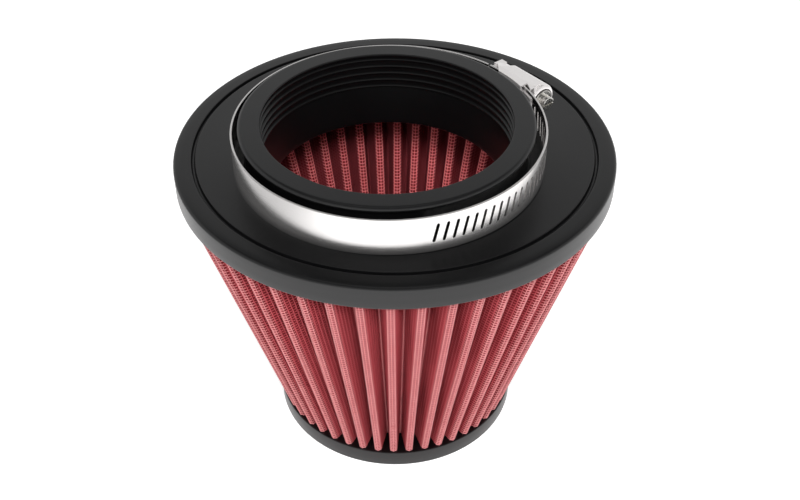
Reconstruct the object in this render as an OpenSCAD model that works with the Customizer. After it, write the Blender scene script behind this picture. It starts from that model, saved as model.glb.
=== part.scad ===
/* [Pleated cone] */
// Number of pleats round the cone
pleat_count = 48; // [36:1:60]
// Rubber of the flange rim outside the pleat crests
rim_cover = 1.2; // [0.5:0.1:4]
// Rubber of the end cap outside the pleat crests
end_cover = 0.5; // [0.2:0.1:2]
// Depth of the folds, crest surface to valley floor
pleat_depth = 9.9; // [7:0.1:10.5]
// Half width of a crest, on the outside of the outer screen
crest_half_w = 1.85; // [1.7:0.05:1.95]
// Half width of a valley floor, on the outside of the outer screen
valley_half_w = 0.4; // [0.3:0.05:0.45]
// Azimuth of the first crest
pleat_phase = 1.8; // [0:0.1:7.5]
// How far the pleats drift round the cone from even spacing
pleat_drift = 1.8; // [0:0.1:2.5]
// Small unevenness of each pleat in degrees
pleat_wobble = 0.12; // [0:0.02:0.2]
// Thickness of one wire screen
screen_t = 0.35; // [0.25:0.05:0.4]
// Thickness of the cotton gauze between the screens
gauze_t = 0.8; // [0.5:0.05:0.85]

/* [Flange cap] */
// Half the diameter of the pipe, the radius over the sealing rib lands
bore_r = 44.45; // [42:0.05:48]
// Wall of the neck from pipe to clamp seat
neck_wall = 5.65; // [5:0.05:7]
// How far the lip stands out over the clamp seat
lip_out = 2.1; // [1.5:0.1:2.6]
// Width of the flange from clamp seat to rim
flange_w = 29.9; // [26:0.1:36]
// Height of the rim's outer wall
rim_wall_h = 7.65; // [5:0.05:10]
// Height of the soft shoulder above the rim wall
shoulder_h = 0.65; // [0.3:0.05:1]
// Width of the soft shoulder
shoulder_w = 1.65; // [1:0.05:3]
// Distance of the ring groove's middle from the rim
groove_inset = 7.2; // [5:0.1:9]
// Width of the ring groove
groove_w = 1.5; // [1:0.1:2.5]
// Depth of the ring groove
groove_depth = 1.6; // [0.8:0.1:3]
// How far the neck sits off the cone's axis
neck_offset = 8.9; // [0:0.1:10]
// Height of the neck above the flange face
neck_h = 16.55; // [16.5:0.05:20]
// Height of the lip
lip_h = 1.8; // [1.6:0.1:2.5]
// Rounding of the lip's upper edge
lip_round = 1.2; // [0.5:0.1:1.4]
// Fillet between clamp seat and flange face
seat_fillet = 1.5; // [0.5:0.1:2]
// Height of the sealing ribs over the grooves between them
rib_h = 0.85; // [0.5:0.05:1.2]
// Number of sealing ribs in the bore
rib_count = 5; // [3:1:5]
// Distance between sealing ribs
rib_pitch = 2.86; // [2.5:0.02:2.9]
// Width of a rib land
rib_land = 0.35; // [0.3:0.05:0.6]
// Height of a rib's slope from land to groove
rib_slope_h = 0.45; // [0.3:0.05:0.6]
// Width of the land at the bore's mouth
mouth_land = 0.6; // [0.4:0.05:0.7]
// Broken edge of the bore's mouth
mouth_edge = 0.35; // [0.2:0.05:0.5]
// Depth of the first rib below the neck face
rib_start = 2.45; // [2.3:0.05:3]
// How much narrower than the pipe the bore's inner end is
throat_step = 1.75; // [1:0.05:3]
// How far the throat collar stands below the flange underside
collar_h = 4.8; // [2:0.1:8]
// Wall of the throat collar
collar_wall = 4.6; // [3:0.1:6]

/* [End cap] */
// Radius of the end cap
end_cap_r = 48.4; // [48.3:0.1:50]
// Height of the end cap
end_cap_h = 6.9; // [5:0.1:9]
// Rounding of the end cap's lower edge
end_cap_round = 0.6; // [0.3:0.1:1.5]

/* [Overall] */
// Height of the pleated cone between the two caps
cone_h = 105.6; // [80:0.1:140]

/* [Clamp band] */
// Azimuth of the clamp's housing
clamp_az = 56; // [0:1:90]
// Sideways play of the loose clamp on the neck
clamp_shift = 0.65; // [0:0.05:0.9]
// Clearance of the loose clamp band round the lip
band_clear = 2.55; // [2.4:0.05:3]
// Thickness of the clamp band
band_t = 0.7; // [0.5:0.05:0.75]
// Width of the clamp band
band_w = 14.1; // [13.5:0.1:14.4]
// Length of the band's slotted end past the housing's middle
band_tail = 7.6; // [6.5:0.1:9]
// Gap between the band's two ends
band_gap = 1; // [0.8:0.1:2]
// Length of a band slot
slot_len = 7.75; // [6:0.05:9]
// Width of a band slot
slot_w = 1.1; // [0.9:0.05:1.4]
// Lean of the band slots
slot_lean = 9; // [5:0.5:12]
// Distance from slot to slot along the band's inner face
slot_pitch = 3.67; // [3.5:0.01:3.8]
// Number of slots
slot_count = 30; // [10:1:31]
// Width of the saddle under the housing
saddle_w = 11.2; // [8:0.1:12]
// Length of the saddle past the housing's middle on the mouth side
saddle_front = 17.8; // [15:0.1:20]
// Length of the saddle past the housing's middle on the closed side
saddle_back = 4.8; // [3:0.1:6.5]

/* [Clamp housing] */
// Thickness of the housing sheet
sheet_t = 0.6; // [0.5:0.05:0.65]
// Height of the screw axis over the band's outer face
screw_rise = 5.05; // [4.9:0.05:5.3]
// Outer radius of the housing barrel
barrel_r = 6.05; // [5.95:0.05:6.2]
// Length of the barrel from the clamp's middle to its mouth
mouth_x = 15; // [14.4:0.1:16]
// Rounding of the curled mouth
mouth_round = 1.4; // [1:0.1:1.5]
// Distance from the clamp's middle to the step where the barrel narrows
step_x = 3.6; // [3:0.1:4]
// Outer radius of the narrow part behind the step
step_r = 5.1; // [4.9:0.05:5.3]
// Distance from the clamp's middle to the closed end
closed_x = 8; // [7.5:0.1:8.5]
// Radius of the nose past the closed end
nose_r = 4.1; // [3.8:0.1:4.3]
// Length of the nose past the closed end
nose_len = 2.8; // [2.4:0.1:3.2]
// Width of the flat ears on the nose
ear_w = 4; // [3:0.1:4.4]
// Distance of the outer face of an ear from the screw axis
ear_z = 4.8; // [4.5:0.1:5]
// Height of the side crease above the band's inner face
crease_rise = 1.35; // [1.2:0.05:1.5]
// How far the legs reach inwards past the band
leg_reach = 1.4; // [1.2:0.05:1.6]
// Distance from the clamp's middle to the front end of the legs
leg_front = 11.5; // [10:0.1:12]
// Distance from the clamp's middle to the back end of the legs
leg_back = 1.7; // [1:0.1:3]

/* [Clamp screw] */
// Radius of the round screw head
head_r = 2.6; // [2.3:0.1:3]
// Length of the screw head past the collar
head_len = 3.1; // [2.5:0.1:4]
// Width of the screwdriver slot
driver_slot_w = 0.5; // [0.4:0.1:1]
// Depth of the screwdriver slot
driver_slot_depth = 0.7; // [0.5:0.1:1.2]
// Radius of the screw collar in the mouth
collar_r = 3.75; // [3.5:0.05:4.1]
// Length of the screw collar
collar_len = 1.2; // [1:0.1:1.5]
// Radius of the screw journal
journal_r = 2.9; // [2.5:0.05:3]
// Running clearance of the screw, on the radius
run_gap = 0.05; // [0.02:0.01:0.08]
// Radius of the worm between its threads
worm_root_r = 3.5; // [3.2:0.05:3.8]
// Clearance between worm threads and band
worm_gap = 0.08; // [0.05:0.01:0.15]
// Distance between the worm threads
thread_pitch = 3.4; // [3:0.1:3.6]

/* [Output] */
// Which piece to draw

/* [Hidden] */

rubber_c = [0.16, 0.16, 0.17];
screen_c = [0.86, 0.55, 0.55];
gauze_c = [0.72, 0.16, 0.2];
steel_c = [0.82, 0.82, 0.84];

// Radii that follow from the pipe and the clearances
seat_r = bore_r + neck_wall;
lip_r = seat_r + lip_out;
rim_r = seat_r + flange_w;
groove_r = rim_r - groove_inset;
rib_root_r = bore_r + rib_h;
throat_r = bore_r - throat_step;
crest_top_r = rim_r - rim_cover;
crest_base_r = end_cap_r - end_cover;
band_r = lip_r + band_clear;

// Heights, all from the end cap's underside
cone_z0 = end_cap_h;
cone_z1 = end_cap_h + cone_h;
face_z = cone_z1 + rim_wall_h + shoulder_h;
neck_top_z = face_z + neck_h;

// The loose clamp rests on the face with the band at the far side and a leg at the housing
leg_r = band_r - leg_reach;
band_out_r = band_r + band_t;
side_z = band_w / 2;
clamp_rest_gap = 0.02;
clamp_tilt = atan(sheet_t / (leg_r + band_out_r));
band_mid_z = face_z + clamp_rest_gap + band_out_r * sin(clamp_tilt) + side_z * cos(clamp_tilt);

// Sizes of the housing and screw that follow from the others
screw_reach = band_out_r + screw_rise;
inner_barrel_r = barrel_r - sheet_t;
corner_y = band_r + crease_rise;
saddle_r = band_r - band_t;
passage_y = band_out_r + 0.15;
inside_y = saddle_r - 6;
far_y = screw_reach + 2 * barrel_r;
mouth_bore_r = barrel_r - mouth_round;
worm_crest_r = screw_rise - worm_gap;
half_h = side_z + sheet_t;
through_h = 2 * half_h + 2;
slot_step = slot_pitch / band_r * 180 / PI;

// Layers of the pleat pack, measured inwards from the outside of the outer screen
layer_gauze = screen_t;
layer_inner = screen_t + gauze_t;
layer_end = 2 * screen_t + gauze_t;

// Crest arc and valley arc, five directions each
arc_steps = [-90, -48, 0, 48, 90];
points_per_pleat = 10;
ring_points = pleat_count * points_per_pleat;
pleat_step = 360 / pleat_count;

function pleat_angle(i) =
    pleat_phase + i * pleat_step
    - pleat_drift * (1 + sin(i * pleat_step + pleat_phase - 17.6 + 0.8))
    + pleat_wobble * (sin(i * 137) + sin(i * 83 + 40));

// A point given by its radius, its sideways distance and the azimuth it is measured from
function polar_point(r, side, az, z) =
    [r * cos(az) - side * sin(az), r * sin(az) + side * cos(az), z];

// Five points over a crest whose outside has half width w
function crest_points(i, r, w, z) = [
    for (a = arc_steps)
        polar_point(r - w * (1 - cos(a)), w * sin(a), pleat_angle(i), z)
];

// Five points through the valley after crest i
function valley_points(i, r, w, z) = [
    for (a = arc_steps)
        polar_point(r + w * (1 - cos(a)), w * sin(a), (pleat_angle(i) + pleat_angle(i + 1)) / 2, z)
];

// Closed pleat outline, set inwards by s from the outside of the outer screen
function pleat_ring(r, s, z) = [
    for (i = [0 : pleat_count - 1])
        each concat(
            crest_points(i, r - s, crest_half_w - s, z),
            valley_points(i, r - pleat_depth - s, valley_half_w + s, z)
        )
];

// Two triangles for each pair of neighbours on rings a and b
function strip_faces(a, b, flip) = [
    for (i = [0 : ring_points - 1])
        let (j = (i + 1) % ring_points)
            each flip
                ? [[a + i, a + j, b + j], [a + i, b + j, b + i]]
                : [[a + i, b + j, a + j], [a + i, b + i, b + j]]
];

module pleated_layer(s0, s1) {
    n = ring_points;
    polyhedron(
        points = concat(
            pleat_ring(crest_base_r, s0, cone_z0),
            pleat_ring(crest_top_r, s0, cone_z1),
            pleat_ring(crest_base_r, s1, cone_z0),
            pleat_ring(crest_top_r, s1, cone_z1)
        ),
        faces = concat(
            strip_faces(0, n, false),
            strip_faces(2 * n, 3 * n, true),
            strip_faces(2 * n, 0, false),
            strip_faces(n, 3 * n, false)
        )
    );
}

module outer_screen() {
    color(screen_c) pleated_layer(0, layer_gauze);
}

module cotton_media() {
    color(gauze_c) pleated_layer(layer_gauze, layer_inner);
}

module inner_screen() {
    color(screen_c) pleated_layer(layer_inner, layer_end);
}

// Rim, soft shoulder, face and ring groove, as a section to be turned
module flange_section() {
    shoulder_round = (shoulder_w * shoulder_w + shoulder_h * shoulder_h) / (2 * shoulder_h);
    difference() {
        union() {
            translate([0, cone_z1]) square([rim_r, rim_wall_h]);
            translate([0, cone_z1]) square([rim_r - shoulder_w, rim_wall_h + shoulder_h]);
            intersection() {
                translate([rim_r - shoulder_w, face_z - shoulder_h]) square([shoulder_w, shoulder_h]);
                translate([rim_r - shoulder_w, face_z - shoulder_round]) circle(r = shoulder_round, $fn = 96);
            }
        }
        translate([groove_r, face_z - groove_depth + groove_w / 2]) circle(d = groove_w, $fn = 48);
        translate([groove_r - groove_w / 2, face_z - groove_depth + groove_w / 2])
            square([groove_w, groove_depth]);
        translate([-1, cone_z1 - 1]) square([1, rim_wall_h + 4]);
    }
}

// Neck, lip and throat collar without the bore, as a section to be turned
module neck_section() {
    seat_top_z = neck_top_z - lip_h;
    difference() {
        union() {
            translate([0, cone_z1 - collar_h])
                square([throat_r + collar_wall, collar_h + rim_wall_h]);
            translate([0, cone_z1]) square([seat_r, face_z - cone_z1 + neck_h - lip_h / 2]);
            translate([0, seat_top_z]) square([lip_r, lip_h - lip_round]);
            translate([0, seat_top_z]) square([lip_r - lip_round, lip_h]);
            translate([lip_r - lip_round, neck_top_z - lip_round]) circle(r = lip_round, $fn = 64);
            translate([0, face_z - 1]) square([seat_r + seat_fillet, 1 + seat_fillet]);
        }
        translate([seat_r + seat_fillet, face_z + seat_fillet]) circle(r = seat_fillet, $fn = 64);
        translate([-1, cone_z1 - collar_h - 1])
            square([1, collar_h + rim_wall_h + neck_h + 6]);
    }
}

// One sealing rib: root, two slopes and the land, as a section to be turned
module rib_section(z) {
    foot = rib_land / 2 + rib_slope_h;
    polygon([
        [rib_root_r + 0.5, z - foot],
        [rib_root_r, z - foot],
        [bore_r, z - rib_land / 2],
        [bore_r, z + rib_land / 2],
        [rib_root_r, z + foot],
        [rib_root_r + 0.5, z + foot]
    ]);
}

// Everything the bore takes away, as a section to be turned
module bore_section() {
    first_z = neck_top_z - rib_start;
    last_z = first_z - (rib_count - 1) * rib_pitch;
    ribs_end_z = last_z - rib_pitch / 2;
    land_z = neck_top_z - mouth_edge - mouth_land;
    throat_z = cone_z1 - collar_h;
    edge = 0.9;
    difference() {
        polygon([
            [0, throat_z - 1],
            [throat_r + edge, throat_z - 1],
            [throat_r + edge, throat_z],
            [throat_r, throat_z + edge],
            [throat_r, throat_z + 2.5 * edge],
            [rib_root_r, ribs_end_z],
            [rib_root_r, land_z - rib_slope_h],
            [bore_r, land_z],
            [bore_r, neck_top_z - mouth_edge],
            [bore_r + mouth_edge, neck_top_z],
            [bore_r + mouth_edge, neck_top_z + 1],
            [0, neck_top_z + 1]
        ]);
        for (i = [0 : rib_count - 1]) rib_section(first_z - i * rib_pitch);
    }
}

module flange_cap() {
    color(rubber_c)
        difference() {
            union() {
                rotate_extrude($fn = 180) flange_section();
                translate([0, -neck_offset, 0]) rotate_extrude($fn = 180) neck_section();
            }
            translate([0, -neck_offset, 0]) rotate_extrude($fn = 180) bore_section();
        }
}

module end_cap() {
    color(rubber_c)
        rotate_extrude($fn = 180)
            difference() {
                union() {
                    translate([0, end_cap_round]) square([end_cap_r, end_cap_h - end_cap_round]);
                    square([end_cap_r - end_cap_round, end_cap_h]);
                    translate([end_cap_r - end_cap_round, end_cap_round])
                        circle(r = end_cap_round, $fn = 48);
                }
                translate([-2, -1]) square([2, end_cap_h + 2]);
            }
}

// Places the clamp's own frame: x along the screw, y outwards, z up from the band's middle
module clamp_frame() {
    translate([clamp_shift, -neck_offset + clamp_shift / 3, band_mid_z])
        rotate([0, 0, clamp_az - 90])
            rotate([clamp_tilt, 0, 0]) children();
}

// A sector of the clamp's plan from azimuth a0 to a1, about the housing's middle
module sector(a0, a1, reach) {
    steps = 24;
    polygon(concat(
        [[0, 0]],
        [for (i = [0 : steps]) let (a = 90 + a0 + (a1 - a0) * i / steps) [reach * cos(a), reach * sin(a)]]
    ));
}

// One leaning slot with round ends, cut straight through the band
module band_slot(a) {
    straight = slot_len - slot_w;
    rotate([0, 0, a])
        translate([0, band_r - 1, 0])
            rotate([-90, 0, 0])
                rotate([0, 0, -slot_lean])
                    linear_extrude(height = band_t + 2) {
                        square([slot_w, straight], center = true);
                        translate([0, straight / 2]) circle(d = slot_w, $fn = 24);
                        translate([0, -straight / 2]) circle(d = slot_w, $fn = 24);
                    }
}

module clamp_band() {
    color(steel_c)
        clamp_frame()
            difference() {
                translate([0, 0, -side_z])
                    linear_extrude(height = band_w)
                        difference() {
                            circle(r = band_out_r, $fn = 180);
                            circle(r = band_r, $fn = 180);
                            sector(asin(band_tail / band_r), asin((band_tail + band_gap) / band_r), 1.1 * band_out_r);
                        }
                for (i = [0 : slot_count - 1]) band_slot(-slot_step * (i + 0.125));
            }
}

module clamp_saddle() {
    color(steel_c)
        clamp_frame()
            translate([0, 0, -saddle_w / 2])
                linear_extrude(height = saddle_w)
                    intersection() {
                        difference() {
                            circle(r = band_r, $fn = 180);
                            circle(r = saddle_r, $fn = 180);
                        }
                        sector(-asin(saddle_front / band_r), asin(saddle_back / band_r), 1.1 * band_out_r);
                    }
}

// Outline of the housing across the screw: flat sides that run into the barrel
module housing_outline(wall_z, foot_y, r) {
    d = [foot_y - screw_reach, wall_z];
    lean = atan2(d[1], d[0]) - acos(r / norm(d));
    touch = [screw_reach + r * cos(lean), r * sin(lean)];
    translate([screw_reach, 0]) circle(r = r, $fn = 96);
    polygon([
        [inside_y, -wall_z],
        [foot_y, -wall_z],
        [touch[0], -touch[1]],
        [touch[0], touch[1]],
        [foot_y, wall_z],
        [inside_y, wall_z]
    ]);
}

// Extrudes an outline drawn in y and z along the screw from x0 to x1
module along_screw(x0, x1) {
    translate([x0, 0, 0])
        rotate([90, 0, 90])
            linear_extrude(height = x1 - x0) children();
}

// Turns a section drawn as radius and length about the screw axis
module about_screw() {
    translate([0, screw_reach, 0])
        rotate([0, 90, 0]) rotate_extrude($fn = 96) children();
}

// Foot of the housing's flank between the legs' front end and the mouth
module housing_foot() {
    flank_y = screw_reach - 1;
    intersection() {
        along_screw(leg_front, mouth_x)
            difference() {
                housing_outline(half_h, corner_y, barrel_r);
                translate([flank_y, -half_h]) square([far_y, 2 * half_h]);
            }
        translate([0, 0, -half_h])
            linear_extrude(height = 2 * half_h)
                polygon([
                    [leg_front, inside_y],
                    [mouth_x, inside_y],
                    [mouth_x, corner_y],
                    [mouth_x - mouth_round, flank_y],
                    [leg_front, flank_y]
                ]);
    }
}

// Outside of the housing before its hollow and its band passage are taken out
module housing_body() {
    housing_foot();
    along_screw(-step_x, mouth_x - mouth_round) housing_outline(half_h, corner_y, barrel_r);
    along_screw(-closed_x, -step_x) housing_outline(half_h, corner_y, step_r);
    about_screw() {
        translate([0, mouth_x - mouth_round - 0.5]) square([mouth_bore_r, mouth_round + 0.5]);
        translate([0, mouth_x - mouth_round - 0.5]) square([barrel_r, 0.5]);
        intersection() {
            translate([mouth_bore_r, mouth_x - mouth_round]) circle(r = mouth_round, $fn = 64);
            translate([0, mouth_x - mouth_round]) square([barrel_r + 1, mouth_round + 1]);
        }
    }
    along_screw(-closed_x - nose_len, -closed_x)
        translate([screw_reach, 0]) circle(r = nose_r, $fn = 64);
    along_screw(-closed_x - nose_len, -closed_x)
        translate([screw_reach - 1, -ear_z]) square([ear_w, 2 * ear_z]);
}

module clamp_housing() {
    end_wall = 1.2;
    color(steel_c)
        clamp_frame() {
            difference() {
                housing_body();
                along_screw(-closed_x + end_wall, -step_x + end_wall)
                    housing_outline(side_z, corner_y - 0.2, step_r - sheet_t);
                along_screw(-step_x + end_wall, mouth_x - mouth_round)
                    housing_outline(side_z, corner_y - 0.2, inner_barrel_r);
                along_screw(mouth_x - mouth_round - 1, mouth_x + 1)
                    translate([screw_reach, 0]) circle(r = mouth_bore_r, $fn = 96);
                along_screw(-closed_x - nose_len - 1, mouth_x + 1)
                    translate([inside_y, -side_z]) square([passage_y - inside_y, band_w]);
                along_screw(-closed_x - nose_len + 1, mouth_x - 3)
                    translate([screw_reach, 0]) circle(r = journal_r + run_gap, $fn = 64);
                translate([0, 0, -through_h / 2]) cylinder(r = leg_r, h = through_h, $fn = 180);
                translate([0, 0, -through_h / 2])
                    linear_extrude(height = through_h) {
                        polygon([
                            [leg_front, inside_y],
                            [leg_front, corner_y - 0.7],
                            [mouth_x + 0.5, corner_y - 2.8],
                            [mouth_x + 0.5, inside_y]
                        ]);
                        polygon([
                            [-leg_back, inside_y],
                            [-leg_back, leg_r],
                            [-leg_back - 3.5, corner_y],
                            [-closed_x, corner_y + 2.4],
                            [-closed_x - 2 * nose_len, corner_y + 2.4],
                            [-closed_x - 2 * nose_len, inside_y]
                        ]);
                    }
            }
            for (m = [-1, 1])
                intersection() {
                    difference() {
                        translate([0, 0, -half_h]) cylinder(r = saddle_r, h = 2 * half_h, $fn = 180);
                        translate([0, 0, -through_h / 2]) cylinder(r = leg_r, h = through_h, $fn = 180);
                    }
                    translate([-leg_back, inside_y, m > 0 ? side_z - 2 : -half_h])
                        cube([leg_back + leg_front, far_y - inside_y, 2 + sheet_t]);
                }
        }
}

// Worm screw as a section to be turned about its own axis
module screw_section() {
    first = -step_x + 1.5;
    last = mouth_x - mouth_round - 2.4;
    turns = floor((last - first) / thread_pitch);
    collar_x = mouth_x - 1;
    translate([0, -closed_x - nose_len + 1.2]) square([journal_r, closed_x + nose_len - 1.2 + first]);
    translate([0, first]) square([worm_root_r, last - first]);
    translate([0, last]) square([journal_r, collar_x - last]);
    translate([0, collar_x]) square([collar_r, collar_len]);
    translate([0, collar_x + collar_len]) square([head_r, head_len]);
    for (i = [0 : turns - 1])
        translate([0, first + (i + 0.5) * thread_pitch])
            polygon([
                [0, -1.2],
                [worm_root_r, -1.2],
                [worm_crest_r, -0.5],
                [worm_crest_r, 0.5],
                [worm_root_r, 1.2],
                [0, 1.2]
            ]);
}

module clamp_screw() {
    head_end_x = mouth_x - 1 + collar_len + head_len;
    color(steel_c)
        clamp_frame()
            difference() {
                about_screw() screw_section();
                translate([head_end_x - driver_slot_depth, screw_reach - head_r - 1, -driver_slot_w / 2])
                    cube([driver_slot_depth + 1, 2 * head_r + 2, driver_slot_w]);
            }
}

flange_cap();
end_cap();
outer_screen();
cotton_media();
inner_screen();
clamp_band();
clamp_saddle();
clamp_housing();
clamp_screw();
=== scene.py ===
import math

import bmesh
import bpy
from mathutils import Matrix, Vector


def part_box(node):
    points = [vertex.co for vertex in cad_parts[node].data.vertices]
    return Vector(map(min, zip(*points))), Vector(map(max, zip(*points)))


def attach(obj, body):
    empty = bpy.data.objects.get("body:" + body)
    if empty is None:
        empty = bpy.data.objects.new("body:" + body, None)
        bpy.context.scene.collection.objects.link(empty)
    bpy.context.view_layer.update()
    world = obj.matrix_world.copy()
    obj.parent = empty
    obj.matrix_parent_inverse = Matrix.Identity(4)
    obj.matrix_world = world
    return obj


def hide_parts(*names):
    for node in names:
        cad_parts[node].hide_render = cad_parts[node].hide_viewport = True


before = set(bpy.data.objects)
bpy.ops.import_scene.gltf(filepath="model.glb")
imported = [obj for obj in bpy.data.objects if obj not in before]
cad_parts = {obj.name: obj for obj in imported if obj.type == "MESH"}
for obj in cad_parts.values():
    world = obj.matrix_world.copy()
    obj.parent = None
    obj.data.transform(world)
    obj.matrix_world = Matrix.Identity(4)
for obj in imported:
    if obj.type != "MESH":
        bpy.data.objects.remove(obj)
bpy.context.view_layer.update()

# Flange cap
# One moulding of black rubber: a thick rim, a flat face with a ring groove, and a short neck set
# off centre, with ribs in its bore that seal on the pipe. Rim and neck are turned from their
# profiles, and the flat face is drawn out from one to the other.
MM = 0.001
ROUND_STEPS = 192

cone_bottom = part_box("outer_screen")[0].z / MM
cone_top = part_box("outer_screen")[1].z / MM
neck_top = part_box("flange_cap")[1].z / MM
neck_height = 16.55
face_height = neck_top - neck_height

rim_radius = 80.0
rim_round = 1.2
rim_inner = 70.0
crown_width = 3.5
crown_radius = 22.0
crown_drop = 0.12
skirt_round = 0.6
groove_inner = 72.05
groove_outer = 73.55
groove_depth = 1.6
flat_margin = 0.3

neck_offset = 8.9
neck_centre = Vector((0, -neck_offset, 0)) * MM
seat_radius = 50.1
seat_fillet = 1.5
lip_radius = 52.2
lip_height = 1.8
lip_round = 1.2
mouth_edge = 0.35
mouth_flat_end = 0.85
mouth_foot = 1.4
rib_count = 5
rib_pitch = 2.86
first_rib = 2.45
rib_land_radius = 44.45
rib_root_radius = 45.3
rib_flat_half = 0.125
rib_foot_half = 0.625
throat_radius = 42.7
throat_round = 0.8
collar_radius = throat_radius + 4.6
collar_depth = 4.8


def arc(r, z, radius, start, end, steps):
    """Points of a profile on a rounded corner, angles in degrees from outwards towards up."""
    turn = [math.radians(start + (end - start) * i / steps) for i in range(steps + 1)]
    return [(r + radius * math.cos(a), z + radius * math.sin(a)) for a in turn]


def rim_profile():
    """The rim and groove, from the flat face round the rim to the underside."""
    inner_ease, outer_ease = 0.15, 0.2
    groove_round = (groove_outer - groove_inner) / 2
    groove_middle = (groove_inner + groove_outer) / 2
    skirt_end = cone_top - skirt_round
    points = [(rim_inner, face_height), (groove_inner - inner_ease - flat_margin, face_height)]
    points += arc(groove_inner - inner_ease, face_height - inner_ease, inner_ease, 90, 0, 3)
    points += arc(groove_middle, face_height - groove_depth + groove_round, groove_round, 180, 360, 8)
    points += [(groove_outer, face_height - outer_ease - 0.05)]
    points += arc(groove_outer + outer_ease, face_height - outer_ease, outer_ease, 150, 90, 2)
    points += [(groove_outer + outer_ease + flat_margin, face_height)]
    points += arc(rim_radius - crown_width, face_height - crown_radius, crown_radius, 90, 84, 4)
    points += arc(rim_radius - rim_round, face_height - crown_drop - rim_round, rim_round, 78, 0, 6)
    points += [(rim_radius, face_height - 3.5), (rim_radius, cone_top + 2.5)]
    points += arc(rim_radius - skirt_round, cone_top, skirt_round, 0, -90, 4)
    points += [(rim_inner, skirt_end), (rim_inner, cone_top)]
    return points


def neck_profile():
    """The neck, from the fillet on the flat face over the lip and down the ribbed bore."""
    ease, lip_ease = 0.15, 0.2
    under_lip = neck_top - lip_height
    eased_land = rib_land_radius + ease
    points = [(seat_radius + seat_fillet, face_height)]
    points += arc(seat_radius + seat_fillet, face_height + seat_fillet, seat_fillet, 258, 180, 6)
    points += [(seat_radius, face_height + 6), (seat_radius, under_lip - ease)]
    points += [(seat_radius + ease, under_lip), (lip_radius - lip_ease, under_lip)]
    points += arc(lip_radius - lip_ease, under_lip + lip_ease, lip_ease, -60, 0, 2)
    points += arc(lip_radius - lip_round, neck_top - lip_round, lip_round, 0, 90, 8)
    points += [(lip_radius - lip_round - flat_margin, neck_top)]
    points += [(rib_land_radius + mouth_edge + flat_margin, neck_top)]
    points += arc(rib_land_radius + mouth_edge, neck_top - mouth_edge, mouth_edge, 90, 180, 6)
    points += arc(eased_land, neck_top - mouth_flat_end, ease, 180, 240, 2)
    points += [(rib_root_radius, neck_top - mouth_foot)]
    for rib in range(rib_count):
        middle = neck_top - first_rib - rib * rib_pitch
        points += [(rib_root_radius, middle + rib_foot_half)]
        points += arc(eased_land, middle + rib_flat_half, ease, 120, 180, 2)
        points += arc(eased_land, middle - rib_flat_half, ease, 180, 240, 2)
        points += [(rib_root_radius, middle - rib_foot_half)]
    throat_end = cone_top - collar_depth + throat_round
    points += [(throat_radius, cone_top - collar_depth / 2), (throat_radius, throat_end)]
    points += arc(throat_radius + throat_round, throat_end, throat_round, 180, 270, 4)
    points += [(collar_radius, cone_top - collar_depth), (collar_radius, cone_top)]
    return points


def turn_profile(mesh, points, centre=Vector((0, 0, 0))):
    """Draws a profile of (radius, height) in mm and spins it round a vertical axis."""
    chain = [mesh.verts.new((r * MM, 0, z * MM)) for r, z in points]
    edges = [mesh.edges.new(pair) for pair in zip(chain, chain[1:])]
    bmesh.ops.translate(mesh, verts=chain, vec=centre)
    bmesh.ops.spin(
        mesh, geom=chain + edges, cent=centre, axis=(0, 0, 1),
        angle=2 * math.pi, steps=ROUND_STEPS, use_merge=True,
    )


def ring_of_edges(mesh, height, radius):
    """The edges that lie on one circle round the cone's axis, at a height and radius in mm."""
    def on_it(v):
        return abs(v.co.z - height * MM) < 2e-6 and abs(v.co.xy.length - radius * MM) < 2e-6
    return [e for e in mesh.edges if on_it(e.verts[0]) and on_it(e.verts[1])]


def widen_to_neck(mesh, height, neck_ring):
    """Draws the flat face from its circle round the cone's axis to a circle round the neck's."""
    edges = ring_of_edges(mesh, height, rim_inner)
    made = bmesh.ops.extrude_edge_only(mesh, edges=edges)["geom"]
    for v in [g for g in made if isinstance(g, bmesh.types.BMVert)]:
        out = Vector((v.co.x, v.co.y, 0)).normalized()
        v.co = neck_centre + out * neck_ring * MM + Vector((0, 0, height * MM))


def finish_piece(mesh, name, material, smooth_angle):
    """Makes the mesh an object at the origin, smooth but for edges sharper than the angle."""
    bmesh.ops.recalc_face_normals(mesh, faces=mesh.faces)
    data = bpy.data.meshes.new(name)
    mesh.to_mesh(data)
    mesh.free()
    for face in data.polygons:
        face.use_smooth = True
    data.set_sharp_from_angle(angle=math.radians(smooth_angle))
    data.materials.append(material)
    piece = bpy.data.objects.new(name, data)
    bpy.context.scene.collection.objects.link(piece)
    return piece


def new_material(name):
    """An empty node material with a Principled shader, as (material, nodes, links, shader)."""
    made = bpy.data.materials.new(name)
    made.use_nodes = True
    nodes, links = made.node_tree.nodes, made.node_tree.links
    return made, nodes, links, nodes["Principled BSDF"]


def feed(links, socket, value):
    """Links another node's output to a socket, or sets the socket to a plain value."""
    if isinstance(value, bpy.types.NodeSocket):
        links.new(value, socket)
    else:
        socket.default_value = value


def add_noise(nodes, links, scale, detail=3.0):
    """Noise on the piece's own coordinates, with the scale in features per metre."""
    where = nodes.new("ShaderNodeTexCoord")
    noise = nodes.new("ShaderNodeTexNoise")
    noise.inputs["Scale"].default_value = scale
    noise.inputs["Detail"].default_value = detail
    links.new(where.outputs["Object"], noise.inputs["Vector"])
    return noise.outputs["Fac"]


def spread(nodes, links, value, low, high, start=0.0, end=1.0):
    """Stretches a value that runs from start to end, so that it runs from low to high."""
    ranged = nodes.new("ShaderNodeMapRange")
    for name, number in (("From Min", start), ("From Max", end), ("To Min", low), ("To Max", high)):
        ranged.inputs[name].default_value = number
    links.new(value, ranged.inputs["Value"])
    return ranged.outputs["Result"]


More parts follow.
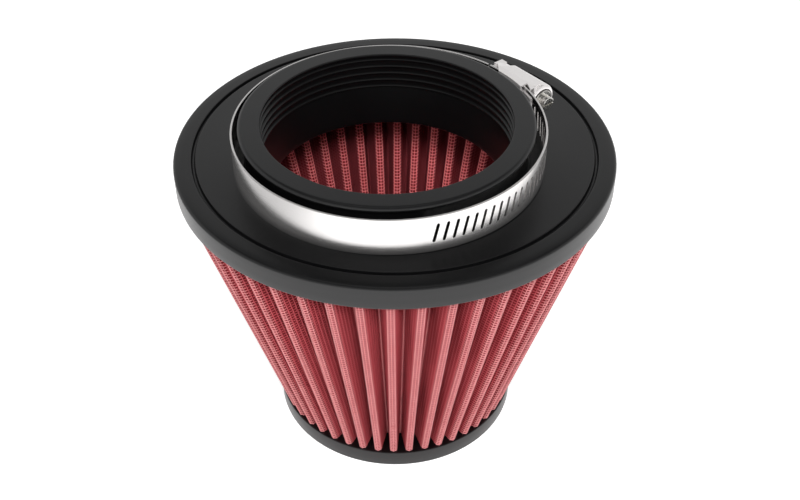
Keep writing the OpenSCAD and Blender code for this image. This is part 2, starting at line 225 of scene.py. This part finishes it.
def blend_colours(nodes, links, share, first, second):
    """A colour that goes from the first, at a share of 0, to the second, at a share of 1."""
    blend = nodes.new("ShaderNodeMixRGB")
    feed(links, blend.inputs["Fac"], share)
    feed(links, blend.inputs["Color1"], first)
    feed(links, blend.inputs["Color2"], second)
    return blend.outputs["Color"]


def add_bump(nodes, links, onto, height, distance, strength=1.0):
    """Bump from a height, with the distance in metres, for a shader or another bump."""
    bump = nodes.new("ShaderNodeBump")
    bump.inputs["Strength"].default_value = strength
    bump.inputs["Distance"].default_value = distance
    links.new(height, bump.inputs["Height"])
    links.new(bump.outputs["Normal"], onto.inputs["Normal"])
    return bump


def moulded_rubber():
    """Black rubber with a soft gloss and a very fine moulded grain."""
    made, nodes, links, shader = new_material("moulded_rubber")
    cloud = add_noise(nodes, links, 60.0)
    black = blend_colours(nodes, links, cloud, (0.0026, 0.0026, 0.0028, 1), (0.0042, 0.0042, 0.0045, 1))
    links.new(black, shader.inputs["Base Color"])
    links.new(spread(nodes, links, cloud, 0.27, 0.37), shader.inputs["Roughness"])
    add_bump(nodes, links, shader, add_noise(nodes, links, 2600.0, 2.0), 0.00002, 0.5)
    return made


rubber = moulded_rubber()

flange_mesh = bmesh.new()
turn_profile(flange_mesh, rim_profile())
turn_profile(flange_mesh, neck_profile(), neck_centre)
widen_to_neck(flange_mesh, face_height, seat_radius + seat_fillet)
widen_to_neck(flange_mesh, cone_top, collar_radius)
bmesh.ops.remove_doubles(flange_mesh, verts=flange_mesh.verts, dist=2e-6)
flange = finish_piece(flange_mesh, "flange_cap_rubber", rubber, 32)
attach(flange, "filter")
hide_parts("flange_cap")

# End cap
# The closed cap of the same black rubber, moulded over the narrow ends of the pleats. It is
# turned from one profile, with a crisp lower edge and a softer upper one.
end_cap_radius = 48.4
end_cap_low_round = 0.25
end_cap_high_round = 0.45


def end_cap_profile():
    """From the middle of the underside round the edge to the middle of the inner face."""
    low_edge, high_edge = end_cap_radius - end_cap_low_round, end_cap_radius - end_cap_high_round
    points = [(0, 0), (30.0, 0)]
    points += arc(low_edge, end_cap_low_round, end_cap_low_round, -90, 0, 4)
    points += [(end_cap_radius, 3.5)]
    points += arc(high_edge, cone_bottom - end_cap_high_round, end_cap_high_round, 0, 90, 4)
    points += [(34.0, cone_bottom), (0, cone_bottom)]
    return points


end_cap_mesh = bmesh.new()
turn_profile(end_cap_mesh, end_cap_profile())
bmesh.ops.remove_doubles(end_cap_mesh, verts=end_cap_mesh.verts, dist=1e-6)
end_cap = finish_piece(end_cap_mesh, "end_cap_rubber", rubber, 32)
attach(end_cap, "filter")
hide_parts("end_cap")

# Cotton gauze
# Oiled cotton gauze, dyed red and folded into pleats between two wire screens. Its fold lines run
# straight from the wide cap to the narrow one and keep the same depth all the way. Its two faces
# are raised from their folded foot lines and joined at both ends.
PLEATS = 48
first_crest = 1.8
pleat_drift = 1.8
drift_start = 16.8
pleat_wobble = 0.12
crest_top_radius = 78.8
crest_bottom_radius = 47.9
fold_depth = 9.9
crest_half_width = 1.5
valley_half_width = 0.4
screen_thickness = 0.35
gauze_thickness = 0.8
gauze_back = screen_thickness + gauze_thickness

crest_run = math.pi * crest_half_width
valley_run = math.pi * valley_half_width
flank_run = 8.0
pleat_run = crest_run + valley_run + 2 * flank_run


def crest_angle(pleat):
    """A crest's azimuth in degrees, with the real one's slow drift and small unevenness."""
    even = pleat * 360 / PLEATS
    drift = pleat_drift * (1 + math.sin(math.radians(even + first_crest - drift_start)))
    same = pleat % PLEATS
    uneven = math.sin(math.radians(same * 137)) + math.sin(math.radians(same * 83 + 40))
    return first_crest + even - drift + pleat_wobble * uneven


def off_axis(radius, side, azimuth):
    """A plan point at a radius and a sideways distance from the line of an azimuth."""
    cos, sin = math.cos(math.radians(azimuth)), math.sin(math.radians(azimuth))
    return Vector((radius * cos - side * sin, radius * sin + side * cos))


def arc_point(pleat, at_crest, turn, sunk, radius):
    """A plan point on a fold, with turn from -1 to 1 across it, sunk below the outer face."""
    a = math.radians(90 * turn)
    if at_crest:
        half, azimuth = crest_half_width - sunk, crest_angle(pleat)
        return off_axis(radius - sunk - half * (1 - math.cos(a)), half * math.sin(a), azimuth)
    half = valley_half_width + sunk
    azimuth = (crest_angle(pleat) + crest_angle(pleat + 1)) / 2
    floor = radius - fold_depth - sunk
    return off_axis(floor + half * (1 - math.cos(a)), half * math.sin(a), azimuth)


def plan_point(pleat, run, sunk, radius):
    """A plan point at a distance run along the folded sheet from the start of a crest."""
    run = run % pleat_run
    if run <= crest_run:
        return arc_point(pleat, True, 2 * run / crest_run - 1, sunk, radius)
    run -= crest_run
    if run <= flank_run:
        top = arc_point(pleat, True, 1, sunk, radius)
        return top.lerp(arc_point(pleat, False, -1, sunk, radius), run / flank_run)
    run -= flank_run
    if run <= valley_run:
        return arc_point(pleat, False, 2 * run / valley_run - 1, sunk, radius)
    run -= valley_run
    low = arc_point(pleat, False, 1, sunk, radius)
    return low.lerp(arc_point(pleat + 1, True, -1, sunk, radius), run / flank_run)


def fold_line(pleat, run, sunk):
    """The two ends of the straight line that a place on the sheet follows down the cone."""
    foot = plan_point(pleat, run, sunk, crest_bottom_radius)
    head = plan_point(pleat, run, sunk, crest_top_radius)
    return Vector((*foot, cone_bottom)) * MM, Vector((*head, cone_top)) * MM


def sheet_stations():
    """Places along one pleat's run where the gauze gets a corner."""
    crest = [crest_run * i / 8 for i in range(9)]
    valley = [crest_run + flank_run + valley_run * i / 4 for i in range(5)]
    return crest + valley


def raise_sheet(mesh, sunk, steps=2):
    """A pleated wall at one depth, extruded up in steps. Returns its rings at foot and head."""
    lines = [fold_line(p, s, sunk) for p in range(PLEATS) for s in sheet_stations()]
    ring = [mesh.verts.new(foot) for foot, head in lines]
    edges = [mesh.edges.new((a, b)) for a, b in zip(ring, ring[1:] + ring[:1])]
    foot_ring = ring
    for step in range(1, steps + 1):
        made = bmesh.ops.extrude_edge_only(mesh, edges=edges)["geom"]
        above = {v for v in made if isinstance(v, bmesh.types.BMVert)}
        edges = [e for e in made if isinstance(e, bmesh.types.BMEdge) and set(e.verts) <= above]
        partner = {}
        for v in ring:
            for e in v.link_edges:
                if e.other_vert(v) in above:
                    partner[v] = e.other_vert(v)
        ring = [partner[v] for v in ring]
        for v, (foot, head) in zip(ring, lines):
            v.co = foot.lerp(head, step / steps)
    return foot_ring, ring


def calculate(nodes, links, operation, *values):
    """The result of a Math node that works on sockets or plain numbers."""
    math_node = nodes.new("ShaderNodeMath")
    math_node.operation = operation
    for socket, value in zip(math_node.inputs, values):
        feed(links, socket, value)
    return math_node.outputs["Value"]


def oiled_gauze():
    """Red dyed cotton: a loose weave, unevenly soaked."""
    made, nodes, links, shader = new_material("oiled_cotton_gauze")
    patches = add_noise(nodes, links, 140.0)
    threads = add_noise(nodes, links, 1500.0, 2.0)
    weave = spread(nodes, links, threads, 0.0, 0.5)
    share = calculate(nodes, links, "MULTIPLY_ADD", patches, 0.5, weave)
    red = blend_colours(nodes, links, share, (0.15, 0.007, 0.011, 1), (0.27, 0.016, 0.023, 1))
    links.new(red, shader.inputs["Base Color"])
    shader.inputs["Roughness"].default_value = 0.85
    add_bump(nodes, links, shader, threads, 0.0002, 0.6)
    return made


gauze_mesh = bmesh.new()
outer_foot, outer_head = raise_sheet(gauze_mesh, screen_thickness)
inner_foot, inner_head = raise_sheet(gauze_mesh, gauze_back)
for outside, inside in ((outer_foot, inner_foot), (outer_head, inner_head)):
    for k in range(len(outside)):
        gauze_mesh.faces.new((outside[k - 1], outside[k], inside[k], inside[k - 1]))
gauze = finish_piece(gauze_mesh, "cotton_gauze", oiled_gauze(), 60)
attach(gauze, "filter")
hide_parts("cotton_media")

# Wire screens
# Two screens of fine woven wire, coated pink by the dye, hold the gauze from outside and inside.
# They are folded with it, so the upright wires run along the fold lines. Each wire is drawn as a
# low ridge that stands on the gauze. Their colour carries painted shade: it darkens deep in the
# folds, stays light on the folds that stand out from each screen's face, and is lighter along the
# outer valley floors as a painted highlight.
ALONG_WIRES = 14
ROUND_WIRE_PITCH = 1.4
round_wire_half = 0.22
along_wire_half = 0.2
wire_sink = 0.02
# How far past a fold's edge the painted shade comes in full.
shade_reach = 0.7
pack_thickness = gauze_back + screen_thickness


def weft_stations(outside):
    """Bends of a wire that goes round a pleat, each with its share of painted shade deep in the fold, 0
    to 1.
    """
    def over(start, length, steps, ends, middle):
        shade_shares = [ends] + [middle] * (steps - 1) + [ends]
        return [(start + length * i / steps, shade_share) for i, shade_share in enumerate(shade_shares)]
    valley_from = crest_run + flank_run
    valley_to = valley_from + valley_run
    if outside:
        crest = over(0, crest_run, 6, 0.4, 0.0) + [(crest_run + shade_reach, 1.0)]
        # Painted highlight: the outer valley floor keeps only half the painted shade.
        valley = over(valley_from, valley_run, 2, 1.0, 0.5) + [(pleat_run - shade_reach, 1.0)]
    else:
        crest = over(0, crest_run, 2, 1.0, 1.0) + [(valley_from - shade_reach, 1.0)]
        valley = over(valley_from, valley_run, 6, 0.4, 0.0) + [(valley_to + shade_reach, 1.0)]
    return crest + valley


def true_runs(sunk):
    """The true lengths round a crest and round a valley, on a face sunk below the outer one."""
    return math.pi * max(crest_half_width - sunk, 0.01), math.pi * (valley_half_width + sunk)


def run_at(length, sunk):
    """The run along a pleat that matches a true length along a face sunk below the outer one."""
    crest, valley = true_runs(sunk)
    start = 0.0
    for real, nominal in ((crest, crest_run), (flank_run, flank_run), (valley, valley_run)):
        if length <= real:
            return start + nominal * length / real
        length -= real
        start += nominal
    return start + length


def sweep_ridge(mesh, shade_shares, low, crown, high, closed):
    """Joins three chains of corners into the two sides of a raised wire."""
    fold_shade = mesh.verts.layers.float["fold_shade"]
    chains = [[mesh.verts.new(p) for p in chain] for chain in (low, crown, high)]
    for chain in chains:
        for v, shade_share in zip(chain, shade_shares):
            v[fold_shade] = shade_share
    for below, above in zip(chains, chains[1:]):
        pairs = list(zip(below, above))
        if closed:
            pairs.append(pairs[0])
        for (a, b), (c, d) in zip(pairs, pairs[1:]):
            mesh.faces.new((a, c, d, b))


def weave_round(mesh, face, back):
    """Wires that go round the cone through every fold, evenly spaced down its slope."""
    bends = [(p, s, shade_share) for p in range(PLEATS) for s, shade_share in weft_stations(face == 0.0)]
    shade_shares = [shade_share for p, s, shade_share in bends]
    crown_lines = [fold_line(p, s, face) for p, s, shade_share in bends]
    back_lines = [fold_line(p, s, back) for p, s, shade_share in bends]
    slope = math.hypot(cone_top - cone_bottom, crest_top_radius - crest_bottom_radius)
    rounds = int(slope / ROUND_WIRE_PITCH)
    half = round_wire_half / slope
    for i in range(rounds):
        at = (i + 0.5) / rounds
        low = [foot.lerp(head, at - half) for foot, head in back_lines]
        crown = [foot.lerp(head, at) for foot, head in crown_lines]
        high = [foot.lerp(head, at + half) for foot, head in back_lines]
        sweep_ridge(mesh, shade_shares, low, crown, high, True)


def weave_along(mesh, face, back):
    """Wires that run down the folds at even true spacing, with painted shade except on the folds that
    stand out.
    """
    crest, valley = true_runs(face)
    whole = crest + valley + 2 * flank_run
    outside = face == 0.0
    unshaded_half = (crest if outside else valley) / 2
    unshaded_at = unshaded_half if outside else crest + flank_run + unshaded_half
    for pleat in range(PLEATS):
        for k in range(ALONG_WIRES):
            at = crest / 2 + k * whole / ALONG_WIRES
            off_unshaded = min(abs(at - unshaded_at), abs(at - unshaded_at - whole))
            shade_share = 0.0 if off_unshaded < unshaded_half else 1.0
            # A painted highlight down the middle of each outer valley floor.
            if outside and k == ALONG_WIRES // 2:
                shade_share = 0.4
            sides = []
            for across, sunk in ((-along_wire_half, back), (0.0, face), (along_wire_half, back)):
                passed, length = divmod(at + across, whole)
                sides.append(fold_line(pleat + int(passed), run_at(length, face), sunk))
            sweep_ridge(mesh, (shade_share, shade_share), *sides, False)


def weave_screen(name, face, back, node, material):
    """A folded screen, with its wires' crowns on one face of the fold and their feet on another."""
    mesh = bmesh.new()
    mesh.verts.layers.float.new("fold_shade")
    weave_round(mesh, face, back)
    weave_along(mesh, face, back)
    screen = finish_piece(mesh, name, material, 180)
    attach(screen, "filter")
    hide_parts(node)


def coated_wire(name, dull, pale, shaded):
    """Wire under a coat tinted by the dye in random patches, with painted shade that darkens it down
    between the folds.
    """
    made, nodes, links, shader = new_material(name)
    patches = add_noise(nodes, links, 420.0, 2.0)
    coat = blend_colours(nodes, links, patches, (*dull, 1), (*pale, 1))
    # Painted shade: each corner's stored share blends the coat towards the shaded colour.
    fold_shade = nodes.new("ShaderNodeAttribute")
    fold_shade.attribute_name = "fold_shade"
    tint = blend_colours(nodes, links, fold_shade.outputs["Fac"], coat, (*shaded, 1))
    links.new(tint, shader.inputs["Base Color"])
    shader.inputs["Metallic"].default_value = 0.0
    shader.inputs["Roughness"].default_value = 0.5
    shader.inputs["Specular IOR Level"].default_value = 0.2
    return made


# The last colour of each wire is its painted shade for deep in the folds.
outer_wire = coated_wire("outer_wire", (0.60, 0.18, 0.19), (0.78, 0.34, 0.34), (0.52, 0.085, 0.10))
# The inner wire's colours are painted redder and brighter than the outer's, as painted light inside the
# cone.
inner_wire_painted_light = coated_wire("inner_wire_painted_light", (0.84, 0.16, 0.18), (0.97, 0.30, 0.30), (0.30, 0.05, 0.06))
weave_screen("outer_wire_screen", 0.0, screen_thickness + wire_sink, "outer_screen", outer_wire)
weave_screen("inner_wire_screen", pack_thickness, gauze_back - wire_sink, "inner_screen", inner_wire_painted_light)

# Clamp band
# Rolled stainless strip, loose round the neck. Its leaning slots take the worm, its edges are
# eased by the rolling, and it lies on the flange face a little tilted by the housing's leg.
BAND_STEPS = 6
SIDE_STEPS = 4
PLAIN_STEPS = 120
band_inner = 54.75
band_outer = 55.45
band_half = 7.05
band_ease = 0.16
band_flat = band_half - band_ease
band_tail = 7.6
band_gap = 1.0
slot_pitch = 3.408
slot_total = 32
first_slot = -1.77
slot_length = 7.45
slot_width = 1.1
slot_middle = 0.4
slot_lean = math.radians(12.5)
sheet = 0.6
leg_radius = 53.35
clamp_azimuth = 56
clamp_shift = 0.65
clamp_rest_gap = 0.02

clamp_tilt = math.atan(sheet / (leg_radius + band_outer))
clamp_height = band_outer * math.sin(clamp_tilt) + band_half * math.cos(clamp_tilt)
clamp_middle = Vector((
    clamp_shift, clamp_shift / 3 - neck_offset, face_height + clamp_rest_gap + clamp_height,
))
clamp_turn = Matrix.Rotation(math.radians(clamp_azimuth - 90), 3, "Z")
clamp_turn = clamp_turn @ Matrix.Rotation(clamp_tilt, 3, "X")


def on_clamp(x, y, z):
    """A place in the clamp's own frame in mm: x along the screw, y outwards, z up."""
    return (clamp_middle + clamp_turn @ Vector((x, y, z))) * MM


def round_clamp(turn, radius, z):
    """A place round the clamp, with the turn in degrees from the housing's middle."""
    a = math.radians(90 + turn)
    return on_clamp(radius * math.cos(a), radius * math.sin(a), z)


def close_outline(top, side, half_height):
    """Goes on from an outline's top down its right side, then adds the same half turned about."""
    half = top + [(side, half_height * (1 - 2 * i / SIDE_STEPS)) for i in range(1, SIDE_STEPS)]
    return half + [(-x, -z) for x, z in half]


def slot_outline():
    """The slot's rim as (sideways, up) in mm, starting at its upper left and going clockwise."""
    half, straight = slot_width / 2, (slot_length - slot_width) / 2
    cos, sin = math.cos(slot_lean), math.sin(slot_lean)
    upright = close_outline(arc(0.0, straight, half, 180, 0, BAND_STEPS), half, straight)
    return [(x * cos + z * sin, z * cos - x * sin + slot_middle) for x, z in upright]


def cell_outline():
    """The rim of the strip's field round a slot, in step with the slot's, from -1 to 1 across."""
    top = [(2 * i / BAND_STEPS - 1, band_flat) for i in range(BAND_STEPS + 1)]
    return close_outline(top, 1.0, band_flat)


def eased_edge():
    """Points of the strip's upper edge, from its outer face over to its inner face."""
    outside = arc(band_outer - band_ease, band_flat, band_ease, 0, 90, 2)
    return outside + arc(band_inner + band_ease, band_flat, band_ease, 90, 180, 2)


def rolled_band():
    """The whole strip as one mesh: slotted fields, plain fields, slot walls and eased edges."""
    mesh = bmesh.new()
    made = {}

    def corner(turn, radius, z):
        key = (round(turn, 4), round(radius, 4), round(z, 4))
        if key not in made:
            made[key] = mesh.verts.new(round_clamp(turn, radius, z))
        return made[key]

    def fill(*places):
        mesh.faces.new([corner(*place) for place in places])

    per_mm = math.degrees(1 / band_inner)
    step = math.degrees(slot_pitch / band_inner)
    half_cell = step / 2
    slot, cell = slot_outline(), cell_outline()
    cell_turns = []
    for k in range(slot_total):
        middle = first_slot - step * k
        rim = [(middle + x * per_mm, z) for x, z in slot]
        field = [(middle + x * half_cell, z) for x, z in cell]
        sides = [(rim[i - 1], rim[i], field[i - 1], field[i]) for i in range(len(rim))]
        for radius in (band_outer, band_inner):
            for (r0, z0), (r1, z1), (f0, y0), (f1, y1) in sides:
                fill((f0, radius, y0), (f1, radius, y1), (r1, radius, z1), (r0, radius, z0))
        for (r0, z0), (r1, z1), f0, f1 in sides:
            fill((r0, band_outer, z0), (r1, band_outer, z1), (r1, band_inner, z1), (r0, band_inner, z0))
        cell_turns.append([turn for turn, z in field[:BAND_STEPS + 1]])

    tail = math.degrees(math.asin(band_tail / band_inner))
    seam = math.degrees(math.asin((band_tail + band_gap) / band_inner)) - 360
    slotted_from, slotted_to = max(cell_turns[0]), min(cell_turns[-1])
    plain_step = (slotted_to - seam) / PLAIN_STEPS
    plain = [[tail, slotted_from], [slotted_to - plain_step * i for i in range(PLAIN_STEPS + 1)]]
    heights = [band_flat * (1 - 2 * i / SIDE_STEPS) for i in range(SIDE_STEPS + 1)]
    for run in plain:
        for t0, t1 in zip(run, run[1:]):
            for z0, z1 in zip(heights, heights[1:]):
                for radius in (band_outer, band_inner):
                    fill((t0, radius, z0), (t1, radius, z0), (t1, radius, z1), (t0, radius, z1))

    edge = eased_edge()
    slotted = sorted({round(turn, 4) for turns in cell_turns for turn in turns}, reverse=True)
    for run in [slotted] + plain:
        for way in (1, -1):
            for t0, t1 in zip(run, run[1:]):
                for (r0, z0), (r1, z1) in zip(edge, edge[1:]):
                    fill((t0, r0, way * z0), (t1, r0, way * z0), (t1, r1, way * z1), (t0, r1, way * z1))
    inside = [(band_inner, z) for z in heights[1:-1]]
    outside = [(band_outer, z) for z in reversed(heights[1:-1])]
    under = [(r, -z) for r, z in reversed(edge)]
    for end in (tail, seam):
        fill(*[(end, r, z) for r, z in edge + inside + under + outside])
    return mesh


def rolled_steel(name, tint, low, high, lean=0.0, metal=1.0):
    """Steel with fine working lines and faint clouding, and a dish across its width if it leans."""
    made, nodes, links, shader = new_material(name)
    shader.inputs["Base Color"].default_value = (*tint, 1)
    shader.inputs["Metallic"].default_value = metal
    clouds = add_noise(nodes, links, 90.0)
    links.new(spread(nodes, links, clouds, low, high), shader.inputs["Roughness"])
    fine = add_bump(nodes, links, shader, add_noise(nodes, links, 3000.0, 2.0), 0.00001, 0.4)
    if lean:
        where = nodes.new("ShaderNodeTexCoord")
        split = nodes.new("ShaderNodeSeparateXYZ")
        links.new(where.outputs["Object"], split.inputs["Vector"])
        foot, foot_blend = (face_height + 1.6) * MM, 3.0 * MM
        above_foot = calculate(nodes, links, "SMOOTH_MAX", split.outputs["Z"], foot, foot_blend)
        add_bump(nodes, links, fine, calculate(nodes, links, "MULTIPLY", above_foot, -lean), 1.0)
    return made


strip = rolled_steel("rolled_strip", (0.82, 0.80, 0.79), 0.20, 0.27, 0.23)
band = finish_piece(rolled_band(), "rolled_band", strip, 20)
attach(band, "filter")
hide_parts("clamp_band")

# Clamp housing and saddle
# Pressed from pale stainless sheet with a satin finish. Both are the carried-over solids: the
# saddle lies inside the band, and the housing is folded round both and holds the screw.
pressed = rolled_steel("pressed_sheet", (0.90, 0.87, 0.86), 0.25, 0.36, metal=0.6)
for node in ("clamp_saddle", "clamp_housing"):
    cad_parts[node].data.materials.clear()
    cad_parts[node].data.materials.append(pressed)

# Clamp screw
# Turned from plated steel: a worm with a rolled thread, a collar in the housing's mouth and a
# round head with a driver slot. The thread is drawn as one helix along the worm.
SCREW_STEPS = 64
WORM_STEPS = 72
screw_reach = 60.5
screw_start = -9.6
journal_radius = 2.9
worm_from = -2.1
worm_to = 11.2
worm_root = 3.5
worm_crest = 4.97
worm_pitch = 3.4
thread_half = 1.2
thread_slope = 0.7
thread_run_out = 0.8
collar_from = 14.0
collar_to = 15.45
screw_collar_radius = 4.15
head_end = 18.3
head_radius = 2.6
driver_half = 0.25
driver_depth = 0.7


def screw_stations():
    """Places along the screw's axis with the radius there, in mm, without the thread."""
    bevel, small_bevel = 0.2, 0.15
    full = screw_collar_radius
    worm = [worm_from + (worm_to - worm_from) * i / WORM_STEPS for i in range(WORM_STEPS + 1)]
    stations = [(screw_start, journal_radius - bevel), (screw_start + bevel, journal_radius)]
    stations += [(worm_from - bevel, journal_radius)]
    stations += [(x, worm_root) for x in worm]
    stations += [(worm_to + bevel, journal_radius), (collar_from, journal_radius)]
    stations += [(collar_from, full - small_bevel), (collar_from + small_bevel, full)]
    stations += [(collar_to - bevel, full), (collar_to, full - bevel)]
    stations += [(collar_to, head_radius + small_bevel), (collar_to + small_bevel, head_radius)]
    stations += [(head_end - 0.25, head_radius), (head_end - 0.07, head_radius - 0.07)]
    stations += [(head_end, head_radius - 0.25)]
    return stations


def thread_height(x, turn):
    """How far the thread stands above the worm's root, with its flanks and its run-out."""
    if not worm_from < x < worm_to:
        return 0.0
    phase = ((x - worm_from) / worm_pitch - turn) % 1.0
    off_crest = abs(phase - 0.5) * worm_pitch
    flank = min(1.0, max(0.0, (thread_half - off_crest) / thread_slope))
    run_out = min(1.0, (x - worm_from) / thread_run_out, (worm_to - x) / thread_run_out)
    return flank * run_out * (worm_crest - worm_root)


def close_face(mesh, corners, u, w):
    """Fills the flat hole between corners, taken in order round their middle in axes u and w."""
    middle = sum((v.co for v in corners), Vector()) / len(corners)
    corners.sort(key=lambda v: math.atan2(v.co[w] - middle[w], v.co[u] - middle[u]))
    mesh.faces.new(corners)


def cut_driver_slot(mesh):
    """Cuts the head along the slot's walls and floor, takes out what is between and closes it."""
    floor_x = head_end - driver_depth
    cut_reach, touching = 2.6, 1e-4
    upper_wall = ((0, 0, driver_half), (0, 0, 1))
    lower_wall = ((0, 0, -driver_half), (0, 0, 1))
    slot_floor = ((floor_x, 0, 0), (1, 0, 0))
    for place, normal in (upper_wall, lower_wall, slot_floor):
        near = [f for f in mesh.faces if f.calc_center_median().x > floor_x - cut_reach]
        edges = list({e for f in near for e in f.edges})
        corners = list({v for f in near for v in f.verts})
        parts = near + edges + corners
        bmesh.ops.bisect_plane(mesh, geom=parts, dist=1e-6, plane_co=place, plane_no=normal)
    middles = [(f, f.calc_center_median()) for f in mesh.faces]
    between = [f for f, middle in middles if abs(middle.z) < driver_half and middle.x > floor_x]
    bmesh.ops.delete(mesh, geom=between, context="FACES")
    rim = {v for e in mesh.edges if len(e.link_faces) == 1 for v in e.verts}
    for wall in (driver_half, -driver_half):
        close_face(mesh, [v for v in rim if abs(v.co.z - wall) < touching], 0, 1)
    close_face(mesh, [v for v in rim if abs(v.co.x - floor_x) < touching], 1, 2)


def turned_screw():
    """Rings along the axis with the thread raised on them, flat ends and the driver slot."""
    mesh = bmesh.new()
    rings = []
    for x, radius in screw_stations():
        ring = []
        for k in range(SCREW_STEPS):
            a = 2 * math.pi * k / SCREW_STEPS
            r = radius + thread_height(x, k / SCREW_STEPS)
            ring.append(mesh.verts.new((x, r * math.cos(a), r * math.sin(a))))
        rings.append(ring)
    for back, front in zip(rings, rings[1:]):
        for k in range(SCREW_STEPS):
            mesh.faces.new((back[k - 1], back[k], front[k], front[k - 1]))
    mesh.faces.new(rings[0])
    mesh.faces.new(rings[-1])
    cut_driver_slot(mesh)
    for v in mesh.verts:
        v.co = on_clamp(v.co.x, screw_reach + v.co.y, v.co.z)
    return mesh


plated = rolled_steel("plated_screw", (0.88, 0.86, 0.82), 0.18, 0.25)
screw = finish_piece(turned_screw(), "turned_screw", plated, 18)
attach(screw, "screw")
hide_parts("clamp_screw")

# Stage
# A white floor and a white surround. In reflections the surround reaches a little over a third of
# the way up to a dim ceiling with a soft panel overhead, and the floor is dimmer to the left.
# Three soft lamps light the part.
floor_half = 6.0
floor_glow = 0.45
surround_glow = 0.45


def fade(nodes, links, value, low, high, start, end):
    """Stretches a value like spread, but eased in and out."""
    eased = spread(nodes, links, value, low, high, start, end)
    eased.node.interpolation_type = "SMOOTHSTEP"
    return eased


def lit_floor():
    """Matt white that glows a little in the picture and in reflections, dimmer to the left."""
    made, nodes, links, shader = new_material("studio_floor")
    shader.inputs["Base Color"].default_value = (0.9, 0.9, 0.9, 1)
    shader.inputs["Roughness"].default_value = 0.9
    shader.inputs["Specular IOR Level"].default_value = 0.0
    shader.inputs["Emission Color"].default_value = (1, 1, 1, 1)
    path = nodes.new("ShaderNodeLightPath")
    in_view, mirrored = path.outputs["Is Camera Ray"], path.outputs["Is Glossy Ray"]
    seen = calculate(nodes, links, "ADD", in_view, mirrored)
    strength = calculate(nodes, links, "MULTIPLY", seen, floor_glow)
    links.new(strength, shader.inputs["Emission Strength"])
    where = nodes.new("ShaderNodeTexCoord")
    split = nodes.new("ShaderNodeSeparateXYZ")
    links.new(where.outputs["Object"], split.inputs["Vector"])
    left = fade(nodes, links, split.outputs["X"], 1.0, 0.0, -0.47, -0.2)
    dim = nodes.new("ShaderNodeEmission")
    dim.inputs["Strength"].default_value = 0.5
    both = nodes.new("ShaderNodeMixShader")
    links.new(calculate(nodes, links, "MULTIPLY", mirrored, left), both.inputs["Fac"])
    links.new(shader.outputs["BSDF"], both.inputs[1])
    links.new(dim.outputs["Emission"], both.inputs[2])
    links.new(both.outputs["Shader"], nodes["Material Output"].inputs["Surface"])
    return made


def blend_values(nodes, links, share, first, second):
    """A number that goes from the first, at a share of 0, to the second, at a share of 1."""
    blend = nodes.new("ShaderNodeMix")
    blend.data_type = "FLOAT"
    feed(links, blend.inputs["Factor"], share)
    feed(links, blend.inputs["A"], first)
    feed(links, blend.inputs["B"], second)
    return blend.outputs["Result"]


def studio_surround():
    """White to the camera, an even glow for plain light, and ceiling and panel in reflections."""
    world = bpy.data.worlds.new("studio")
    world.use_nodes = True
    nodes, links = world.node_tree.nodes, world.node_tree.links
    background = nodes["Background"]
    background.inputs["Color"].default_value = (1, 1, 1, 1)
    where = nodes.new("ShaderNodeTexCoord")
    split = nodes.new("ShaderNodeSeparateXYZ")
    links.new(where.outputs["Generated"], split.inputs["Vector"])

    def from_up_to(low, high, low_angle, high_angle):
        start, end = math.sin(math.radians(low_angle)), math.sin(math.radians(high_angle))
        return fade(nodes, links, split.outputs["Z"], low, high, start, end)

    ceiling = from_up_to(0.66, 0.05, 36, 44)
    panel = from_up_to(0.0, 0.42, 55, 76)
    mirrored = calculate(nodes, links, "ADD", ceiling, panel)
    path = nodes.new("ShaderNodeLightPath")
    light = blend_values(nodes, links, path.outputs["Is Glossy Ray"], surround_glow, mirrored)
    in_view, passed = path.outputs["Is Camera Ray"], path.outputs["Is Transmission Ray"]
    straight = calculate(nodes, links, "MAXIMUM", in_view, passed)
    links.new(blend_values(nodes, links, straight, light, 1.0), background.inputs["Strength"])
    return world


floor_mesh = bmesh.new()
bmesh.ops.create_grid(floor_mesh, x_segments=1, y_segments=1, size=floor_half)
floor = finish_piece(floor_mesh, "studio_floor", lit_floor(), 38)
bpy.context.scene.world = studio_surround()

look = Vector((-0.3024, 0.9532, 0)).normalized()
right_hand = Vector((look.y, -look.x, 0))
part_middle = Vector((0, 0, 0.07))


def add_lamp(name, back, right, up, size, power):
    """A square soft lamp, placed from the camera's side of the part and aimed at its middle."""
    data = bpy.data.lights.new(name, "AREA")
    data.size = size
    data.energy = power
    lamp = bpy.data.objects.new(name, data)
    lamp.location = part_middle - look * back + right_hand * right + Vector((0, 0, up))
    lamp.rotation_euler = (part_middle - lamp.location).to_track_quat("-Z", "Y").to_euler()
    lamp.visible_glossy = False
    lamp.visible_camera = False
    bpy.context.scene.collection.objects.link(lamp)


add_lamp("key_lamp", 0.9, -0.5, 0.9, 0.7, 7.0)
add_lamp("fill_lamp", 0.6, 1.0, 0.5, 0.8, 3.0)
add_lamp("front_lamp", 0.85, 0.1, 0.95, 0.3, 8.0)

# Camera
# A 50 mm lens that looks down at the part from over its front, as in the photograph. The sensor
# is a full frame's, 36 mm wide.
camera_place = Vector((105.12, -325.29, 350.54))
camera_pitch = math.radians(39.284)

camera_data = bpy.data.cameras.new("camera")
camera_data.sensor_width = 36.0
camera_data.lens = 50.70
camera_data.clip_start = 0.01
camera = bpy.data.objects.new("camera", camera_data)
camera.location = camera_place * MM
aim = look * math.cos(camera_pitch) - Vector((0, 0, math.sin(camera_pitch)))
camera.rotation_euler = aim.to_track_quat("-Z", "Y").to_euler()
bpy.context.scene.collection.objects.link(camera)
bpy.context.scene.camera = camera
bpy.context.scene.view_settings.view_transform = "Standard"
